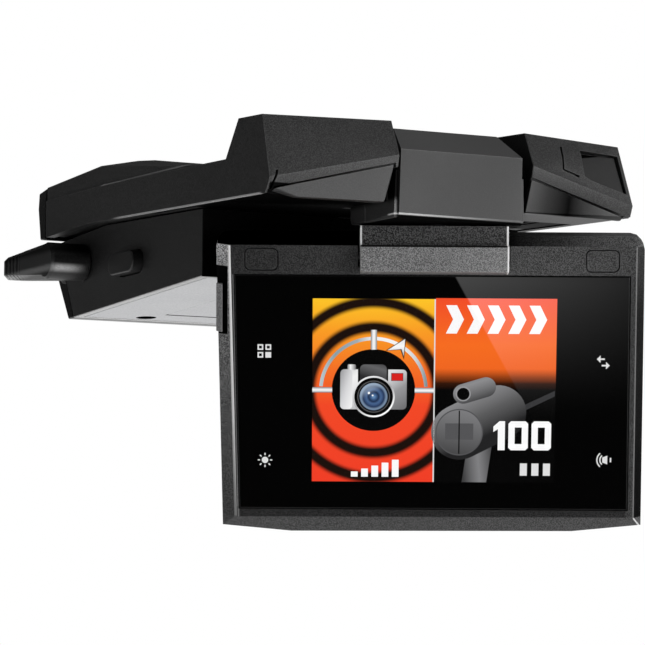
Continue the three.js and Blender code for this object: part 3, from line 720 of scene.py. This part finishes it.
def paint_target(tree, x, z):
    """Yellow to red, with dark soft rings about a middle point."""
    colour = colour_ramp(tree, tree.place(z, LEFT_PANEL[2], LEFT_PANEL[3]), [
        (0.0, (240, 62, 38)), (0.42, (241, 72, 38)), (0.62, (244, 112, 38)), (0.82, (249, 155, 36)),
        (1.0, (253, 196, 40))])
    across, up = tree.math("SUBTRACT", x, TARGET[0]), tree.math("SUBTRACT", z, TARGET[1])
    radius = tree.math("SQRT", tree.squares(across, up))
    for middle in RING_RADII:
        away = tree.math("ABSOLUTE", tree.math("SUBTRACT", radius, middle))
        colour = tree.mix(tree.fall(away, 0.55, 1.7), colour, linear(26, 14, 9))
    return colour


def paint_fade(tree, _, z):
    """Orange above, fading to black."""
    return colour_ramp(tree, tree.place(z, RIGHT_PANEL[2], RIGHT_PANEL[3]), [
        (0.0, (3, 3, 3)), (0.505, (3, 3, 3)), (0.54, (50, 22, 8)), (0.575, (150, 64, 20)),
        (0.62, (240, 102, 32)), (0.75, (246, 108, 32)), (1.0, (241, 76, 40))])


def graded(name, direction, low, high, stops):
    """A lit print whose tone runs along a direction, from low to high millimetres, through the stops."""
    def paint(tree, x, z):
        along = tree.total(tree.product(x, direction[0]), tree.product(z, direction[1]))
        return colour_ramp(tree, tree.place(along, low, high), stops)
    return picture(name, paint)


def lens_print(name, x_middle, z_middle):
    """Coated glass: a bright blue heart, a dark ring and a pale rim."""
    def paint(tree, x, z):
        across, up = tree.math("SUBTRACT", x, x_middle), tree.math("SUBTRACT", z, z_middle)
        radius = tree.math("SQRT", tree.squares(across, up))
        colour = colour_ramp(tree, tree.math("DIVIDE", radius, LENS_RADIUS), [
            (0.0, (112, 152, 196)), (0.2, (58, 88, 130)), (0.34, (30, 44, 72)), (0.5, (72, 100, 142)),
            (0.72, (36, 52, 84)), (0.88, (124, 146, 172)), (1.0, (20, 26, 38))])
        shine = tree.ramp(tree.off_line(up, across, (0.0, 0.5)), 0.4, 2.6, 0, 0.4)
        return tree.mix(shine, colour, linear(190, 208, 228))
    return picture(name, paint)


def box(left, right, bottom, top):
    return [(left, bottom), (right, bottom), (right, top), (left, top)]


def arc_points(x, z, radius, start, end, steps):
    angles = [math.radians(start + (end - start) * step / steps) for step in range(steps + 1)]
    return [(x + radius * math.cos(angle), z + radius * math.sin(angle)) for angle in angles]


def disc(x, z, radius, sides=48):
    return arc_points(x, z, radius, 0, 360 - 360 / sides, sides - 1)


def band(x, z, inner, outer, start, end, steps=32):
    return arc_points(x, z, outer, start, end, steps) + arc_points(x, z, inner, end, start, steps)


def rounded(left, right, bottom, top, radius):
    corners = [(right - radius, top - radius, 0), (left + radius, top - radius, 90),
               (left + radius, bottom + radius, 180), (right - radius, bottom + radius, 270)]
    return [point for x, z, start in corners for point in arc_points(x, z, radius, start, start + 90, 5)]


WHITE = lit("print_white", linear(250, 250, 250))
SOFT_WHITE = lit("print_soft_white", linear(222, 222, 222))
LIGHT_GREY = lit("print_light_grey", linear(150, 150, 152))
MID_GREY = lit("print_mid_grey", linear(84, 84, 86))
DARK_GREY = lit("print_dark_grey", linear(54, 54, 56))
INK = lit("print_black", linear(4, 4, 4))
RED = lit("print_red", linear(214, 34, 30))

print_on_glass("screen_left_picture", [(box(*LEFT_PANEL), 0, picture("screen_target", paint_target))])
print_on_glass("screen_right_picture", [(box(*RIGHT_PANEL), 0, picture("screen_fade", paint_fade))])

# Aiming target: disc, upper ring, ticks and a pointer.
tx, tz = TARGET
HUB_RADIUS, ARC_INNER, ARC_OUTER = 8.3, 10.1, 10.8
UPRIGHT_HALF, LEVEL_HALF = 0.62, 0.55
STEEL_TONES = [(0.0, (98, 98, 100)), (0.3, (226, 226, 228)), (0.55, (250, 250, 250)), (1.0, (118, 118, 120))]
ARC_TONES = [(0.0, (190, 204, 208)), (0.15, (138, 158, 164)), (0.35, (160, 172, 176)), (0.5, (238, 240, 240)),
             (0.72, (244, 246, 246)), (0.88, (206, 212, 214)), (1.0, (110, 130, 134))]
UPRIGHT_TICK = graded("print_upright_tick", (1, 0), tx - UPRIGHT_HALF, tx + UPRIGHT_HALF, STEEL_TONES)
LEVEL_TICK = graded("print_level_tick", (0, 1), tz - LEVEL_HALF, tz + LEVEL_HALF, STEEL_TONES)
ARC = graded("print_arc", (1, 0), tx - ARC_OUTER - 0.1, tx + ARC_OUTER + 0.1, ARC_TONES)
POINTER = graded("print_pointer", (0, 1), tz + 6.6, tz + 10.4, [
    (0.0, (150, 150, 152)), (0.6, (250, 250, 250)), (1.0, (225, 225, 225))])
print_on_glass("screen_target_marks", [
    (disc(tx, tz, HUB_RADIUS, 64), 1, INK),
    (band(tx, tz, ARC_INNER, ARC_OUTER, 4, 176, 40), 1, ARC),
    (box(tx - UPRIGHT_HALF, tx + UPRIGHT_HALF, tz + 8.2, tz + 12.2), 2, UPRIGHT_TICK),
    (box(LEFT_PANEL[0], tx - 8.2, tz - LEVEL_HALF, tz + LEVEL_HALF), 2, LEVEL_TICK),
    (box(tx + 8.2, LEFT_PANEL[1], tz - LEVEL_HALF, tz + LEVEL_HALF), 2, LEVEL_TICK),
    ([(tx + 2.3, tz + 8.0), (tx + 5.3, tz + 8.2), (tx + 6.0, tz + 6.2), (tx + 6.4, tz + 10.7)], 3, INK),
    ([(tx + 2.7, tz + 8.1), (tx + 5.5, tz + 8.35), (tx + 5.95, tz + 6.8), (tx + 6.2, tz + 10.4)], 4, POINTER),
    (box(LEFT_PANEL[1], RIGHT_PANEL[0], LEFT_PANEL[2], LEFT_PANEL[3]), 2, SOFT_WHITE),
])


def camera_mark():
    """Stills-camera pictogram."""
    left, right, bottom, top = tx - 6.6, tx + 6.6, tz - 3.9, tz + 4.2
    lens_x, lens_z = tx + 0.05, tz - 1.3
    body = graded("print_camera_body", (-0.7, 1), bottom - 0.7 * right, top - 0.7 * left, [
        (0.0, (104, 104, 106)), (0.3, (150, 150, 152)), (0.55, (222, 222, 224)), (0.8, (240, 240, 240)),
        (1.0, (196, 196, 198))])
    grip = graded("print_camera_grip", (1, -0.3), left - 0.3 * top, left + 2.4 - 0.3 * bottom, [
        (0.0, (150, 150, 152)), (0.5, (214, 214, 216)), (1.0, (246, 246, 246))])
    knob = graded("print_camera_knob", (1, 0), left + 1.4, left + 3.1, [
        (0.0, (110, 110, 112)), (0.35, (245, 245, 245)), (1.0, (90, 90, 92))])
    hood = graded("print_camera_hood", (0.3, 1), tz + 0.3 * (tx - 3), top + 1 + 0.3 * (tx + 3), [
        (0.0, (18, 18, 20)), (0.45, (44, 44, 46)), (0.8, (98, 98, 100)), (1.0, (60, 60, 62))])
    rim = graded("print_lens_rim", (-0.6, 1), lens_z - 4.2 - 0.6 * lens_x, lens_z + 4.2 - 0.6 * lens_x, [
        (0.0, (255, 255, 255)), (0.5, (168, 168, 170)), (1.0, (232, 232, 234))])
    return [
        (rounded(left, right, bottom, top, 0.8), 2, body),
        (rounded(left, left + 2.4, bottom, top, 0.8), 3, grip),
        (rounded(left + 1.4, left + 3.1, top - 0.2, top + 1, 0.3), 2, knob),
        (rounded(tx - 3.1, tx + 2.9, tz, top + 0.3, 0.4), 3, INK),
        (rounded(tx - 2.7, tx + 2.6, tz, top + 1, 0.9), 4, hood),
        (box(right - 3.1, right - 0.7, top - 2.3, top - 0.7), 3, DARK_GREY),
        (box(right - 3, right - 0.8, top - 2.2, top - 0.8), 4, RED),
        (disc(lens_x, lens_z, 4.2), 5, rim),
        (disc(lens_x, lens_z, 3.85), 6, INK),
        (disc(lens_x, lens_z, 3.25), 7, MID_GREY),
        (disc(lens_x, lens_z, 3.05), 8, INK),
        (disc(lens_x, lens_z, 2.8), 9, lens_print("print_lens", lens_x, lens_z)),
        (disc(lens_x - 0.95, lens_z + 0.75, 0.24, 16), 10, WHITE),
        (disc(lens_x - 0.2, lens_z + 0.25, 0.18, 12), 10, WHITE),
    ]


print_on_glass("screen_camera_mark", camera_mark())


def level_bars(left, right, bottom, top, count, gap, low=1.0):
    """Bars where a caption would be, rising to full height from a fraction of it."""
    width = (right - left - gap * (count - 1)) / count
    shapes = []
    for step in range(count):
        start = left + step * (width + gap)
        height = (top - bottom) * (low + (1 - low) * step / (count - 1))
        shapes.append(box(start, start + width, bottom, bottom + height))
    return shapes


def chevrons(left, right, bottom, top, count):
    """Arrow heads where a headline would be."""
    pitch = (right - left) / count
    middle = (bottom + top) / 2
    width, reach = pitch * 0.52, pitch * 0.34
    return [
        [(x, bottom), (x + width, bottom), (x + width + reach, middle), (x + width, top), (x, top),
         (x + reach, middle)]
        for x in (left + step * pitch for step in range(count))
    ]


headline = chevrons(2.5, 23.1, -14.4, -8.7, 5)
print_on_glass("screen_headline", [(shape, 1, WHITE) for shape in headline])
print_on_glass("screen_left_level", [
    (shape, 1, WHITE) for shape in level_bars(-16.1, -6.6, -43.6, -40.1, 5, 0.7, low=0.3)])
print_on_glass("screen_unit_marks", [
    (shape, 2, SOFT_WHITE) for shape in level_bars(17.6, 23.6, -43.2, -40.7, 3, 0.9)])


def sensor_mark():
    """Sensor pictogram of plain shapes."""
    def capsule(ax, az, bx, bz, radius):
        angle = math.degrees(math.atan2(bz - az, bx - ax))
        return (arc_points(bx, bz, radius, angle - 90, angle + 90, 18)
                + arc_points(ax, az, radius, angle + 90, angle + 270, 18))

    barrel = graded("print_sensor_barrel", (-0.5, 1), -40.5, -26.5, [
        (0.0, (34, 34, 35)), (0.35, (92, 92, 93)), (0.7, (136, 136, 138)), (1.0, (84, 84, 85))])
    face = graded("print_sensor_face", (0.2, 1), -38.4, -28.6, [(0.0, (66, 66, 67)), (1.0, (124, 124, 126))])
    stand = graded("print_sensor_stand", (1, 0.1), 2.0, 8.4, [
        (0.0, (60, 60, 61)), (0.5, (128, 128, 130)), (1.0, (58, 58, 59))])
    scope = graded("print_sensor_scope", (-0.35, 1), -31.5, -24.5, [
        (0.0, (48, 48, 49)), (0.6, (140, 140, 142)), (1.0, (90, 90, 91))])
    return [
        ([(17.0, -29.4), (24.3, -25.9), (24.3, -27), (17.0, -30.6)], 1, DARK_GREY),
        ([(7.0, -37.5), (12.0, -36.5), (10.9, -44.6), (6.0, -44.6)], 1, stand),
        (capsule(5.4, -34.4, 13.1, -30.4, 5.6), 2, barrel),
        (disc(5.4, -34.4, 4.75), 3, MID_GREY),
        (disc(5.4, -34.4, 4.5), 4, face),
        (box(2.6, 8.2, -35.9, -32.6), 5, MID_GREY),
        (box(5.25, 5.5, -38.8, -30), 6, INK),
        (capsule(6.1, -26.6, 10.6, -25.2, 2), 3, scope),
        (disc(6.1, -26.6, 1.5, 24), 4, LIGHT_GREY),
        (disc(6.1, -26.6, 1.25, 24), 5, INK),
    ]


print_on_glass("screen_sensor_mark", sensor_mark())


def digit_one(left, bottom, height):
    return [[(left + 0.9, bottom), (left + 2.3, bottom), (left + 2.3, bottom + height),
             (left + 1.2, bottom + height), (left, bottom + height - 1.1), (left, bottom + height - 2.2),
             (left + 0.9, bottom + height - 1.6)]]


def digit_zero(left, bottom, height):
    right, top, bar = left + 3.9, bottom + height, 1.25
    return [
        box(left, left + bar, bottom + 0.5, top - 0.5), box(right - bar, right, bottom + 0.5, top - 0.5),
        [(left, bottom + 0.5), (left + 0.5, bottom), (right - 0.5, bottom), (right, bottom + 0.5),
         (right, bottom + bar), (left, bottom + bar)],
        [(left, top - bar), (right, top - bar), (right, top - 0.5), (right - 0.5, top), (left + 0.5, top),
         (left, top - 0.5)],
    ]


# A plain number on the readout.
FOOT, HEIGHT = -38, 5.9
number = digit_one(12.2, FOOT, HEIGHT) + digit_zero(15.2, FOOT, HEIGHT) + digit_zero(19.8, FOOT, HEIGHT)
print_on_glass("screen_number", [(shape, 7, WHITE) for shape in number])


def grid_mark(left, bottom, size):
    half = size * 0.42
    line = 0.28
    shapes = []
    for column in (0, 1):
        for row in (0, 1):
            x, z = left + column * (size - half), bottom + row * (size - half)
            if column == 1 and row == 0:
                shapes.append(box(x, x + half, z, z + half))
                continue
            shapes += [box(x, x + half, z, z + line), box(x, x + half, z + half - line, z + half),
                       box(x, x + line, z + line, z + half - line),
                       box(x + half - line, x + half, z + line, z + half - line)]
    return shapes


def sun_mark(x, z, radius):
    shapes = [disc(x, z, radius * 0.45, 24)]
    for step in range(8):
        angle = math.radians(45 * step)
        along = Vector((math.cos(angle), math.sin(angle)))
        across = Vector((-along.y, along.x))
        centre = Vector((x, z))
        near, far = centre + along * radius * 0.68, centre + along * radius
        side = across * radius * 0.08
        shapes.append([tuple(near - side), tuple(far - side), tuple(far + side), tuple(near + side)])
    return shapes


def arrow_mark(x, z, length, way):
    head, line = 0.75, 0.16
    tail, neck, tip = x + way * length * 0.7, x + way * (length - head), x + way * length
    return [
        box(min(x, tail), max(x, tail), z - line, z + line),
        [(neck, z - head), (tip, z), (neck, z + head)][::way],
    ]


def sound_mark(x, z):
    return [
        [(x + 0.6, z - 0.9), (x + 0.6, z + 0.9), (x - 0.4, z + 0.5), (x - 0.4, z - 0.5)][::-1],
        box(x + 1.1, x + 1.4, z - 0.45, z + 0.45),
        band(x + 0.3, z, 1.05, 1.3, 130, 230, 10), band(x + 0.3, z, 1.65, 1.9, 130, 230, 12),
    ]


# Touch marks at the sides of the screen.
touch_marks = (
    grid_mark(-34.8, -19.5, 2.7) + sun_mark(-33.25, -40.3, 1.45)
    + arrow_mark(34.1, -19.4, 1.6, -1) + arrow_mark(33.5, -20.7, 1.6, 1) + sound_mark(34.4, -39.9)
)
print_on_glass("touch_marks", [(shape, 0, SOFT_WHITE) for shape in touch_marks])

# ---------------------------------------------------------------- surroundings
FLOOR_AT, FLOOR_RADIUS, FLOOR_GLOW = -0.2, 3, 0.52
ROOM_LOW, ROOM_HIGH = 0.05, 0.08
MIDDLE = Vector((0, 0.01, -0.035))


def surface_of(tree, shader):
    output = next(node for node in tree.tree.nodes if node.type == "OUTPUT_MATERIAL")
    tree.link(shader, output.inputs["Surface"])


def make_floor():
    """A pale lit table, clear from below."""
    mesh = bmesh.new()
    bmesh.ops.create_circle(mesh, cap_ends=True, radius=FLOOR_RADIUS, segments=64)
    data = bpy.data.meshes.new("floor")
    mesh.to_mesh(data)
    mesh.free()
    material, tree, shader = new_material("floor_paper")
    shader.inputs["Base Color"].default_value = (0.8, 0.8, 0.8, 1)
    shader.inputs["Roughness"].default_value = 0.9
    shader.inputs["Specular IOR Level"].default_value = 0.1
    shader.inputs["Emission Color"].default_value = (1, 1, 1, 1)
    shader.inputs["Emission Strength"].default_value = FLOOR_GLOW
    clear = tree.make("BsdfTransparent")
    mix = tree.make("MixShader")
    tree.link(tree.make("NewGeometry").outputs["Backfacing"], mix.inputs["Fac"])
    tree.link(shader.outputs["BSDF"], mix.inputs[1])
    tree.link(clear.outputs["BSDF"], mix.inputs[2])
    surface_of(tree, mix.outputs["Shader"])
    data.materials.append(material)
    floor = bpy.data.objects.new("floor", data)
    floor.location.z = FLOOR_AT
    scene.collection.objects.link(floor)


def make_world():
    """White for the camera; for light, a dim room that is brighter overhead."""
    world = bpy.data.worlds.new("studio")
    scene.world = world
    world.use_nodes = True
    tree = Tree(world.node_tree)
    world.node_tree.nodes.clear()
    output = tree.make("OutputWorld")
    room = tree.make("Background")
    direction = tree.make("SeparateXYZ")
    tree.link(tree.make("TexCoord").outputs["Generated"], direction.inputs["Vector"])
    overhead = tree.ramp(direction.outputs["Z"], -0.1, 0.9)
    tree.link(tree.mix(overhead, grey(ROOM_LOW), grey(ROOM_HIGH)), room.inputs["Color"])
    white = tree.make("Background")
    white.inputs["Color"].default_value = (1, 1, 1, 1)
    mix = tree.make("MixShader")
    tree.link(tree.make("LightPath").outputs["Is Camera Ray"], mix.inputs["Fac"])
    tree.link(room.outputs["Background"], mix.inputs[1])
    tree.link(white.outputs["Background"], mix.inputs[2])
    tree.link(mix.outputs["Shader"], output.inputs["Surface"])


# The card: the way it faces, its place and half its side, in metres. Its lit patch lies between two
# heights on the card, past a slanting edge, and grows brighter upwards and to one side.
CARD_FACES = Vector((-0.37364, -0.80151, -0.46687))
CARD_AT = Vector((-0.07255, -0.18445, -0.14609))
CARD_HALF = 0.062
PATCH_LOW, PATCH_HIGH = -0.0065, 0.029
PATCH_EDGE, PATCH_SLANT = 0.0229, 0.57
PATCH_POWER, PATCH_LIGHT = 1.8, 1.4
SIDE_LIGHT = (1.136, 17)


def reflection_card():
    """A dark board with one lit slanting patch, seen only in reflections, in front of the screen."""
    across = CARD_FACES.cross(Vector((0, 0, 1))).normalized()
    up = across.cross(CARD_FACES)
    mesh = bmesh.new()
    corners = box(-CARD_HALF, CARD_HALF, -CARD_HALF, CARD_HALF)
    mesh.faces.new([mesh.verts.new((a, b, 0)) for a, b in corners])
    data = bpy.data.meshes.new("card")
    mesh.to_mesh(data)
    mesh.free()
    material, tree, _ = new_material("card_light")
    split = tree.make("SeparateXYZ")
    tree.link(tree.position(), split.inputs["Vector"])
    a, b = split.outputs["X"], split.outputs["Y"]
    rise = tree.math("POWER", tree.place(b, PATCH_LOW, PATCH_HIGH), PATCH_POWER)
    sideways = tree.total(tree.product(a, SIDE_LIGHT[1]), SIDE_LIGHT[0])
    patch = tree.step(tree.math("SUBTRACT", tree.product(b, PATCH_SLANT), a), PATCH_EDGE, 0.0003)
    light = tree.make("Emission")
    tree.link(tree.product(rise, sideways, patch, PATCH_LIGHT), light.inputs["Strength"])
    light.inputs["Color"].default_value = (1, 1, 1, 1)
    surface_of(tree, light.outputs["Emission"])
    data.materials.append(material)
    card = bpy.data.objects.new("card", data)
    card.matrix_world = Matrix.Translation(CARD_AT) @ Matrix((across, up, -CARD_FACES)).transposed().to_4x4()
    card.visible_camera = False
    card.visible_diffuse = False
    card.visible_shadow = False
    card.visible_transmission = False
    scene.collection.objects.link(card)


def soft_light(name, place, width, height, power):
    data = bpy.data.lights.new(name, "AREA")
    data.shape = "RECTANGLE"
    data.size, data.size_y = width, height
    data.energy = power
    light = bpy.data.objects.new(name, data)
    light.location = place
    light.rotation_mode = "QUATERNION"
    light.rotation_quaternion = (MIDDLE - Vector(place)).to_track_quat("-Z", "Y")
    scene.collection.objects.link(light)


make_floor()
make_world()
reflection_card()
soft_light("top_light", place=(0.1, 0.0, 0.9), width=1.2, height=1.2, power=3)
soft_light("front_light", place=(0.55, -0.85, 0.02), width=0.6, height=0.5, power=8)
scene.view_settings.view_transform = "Standard"
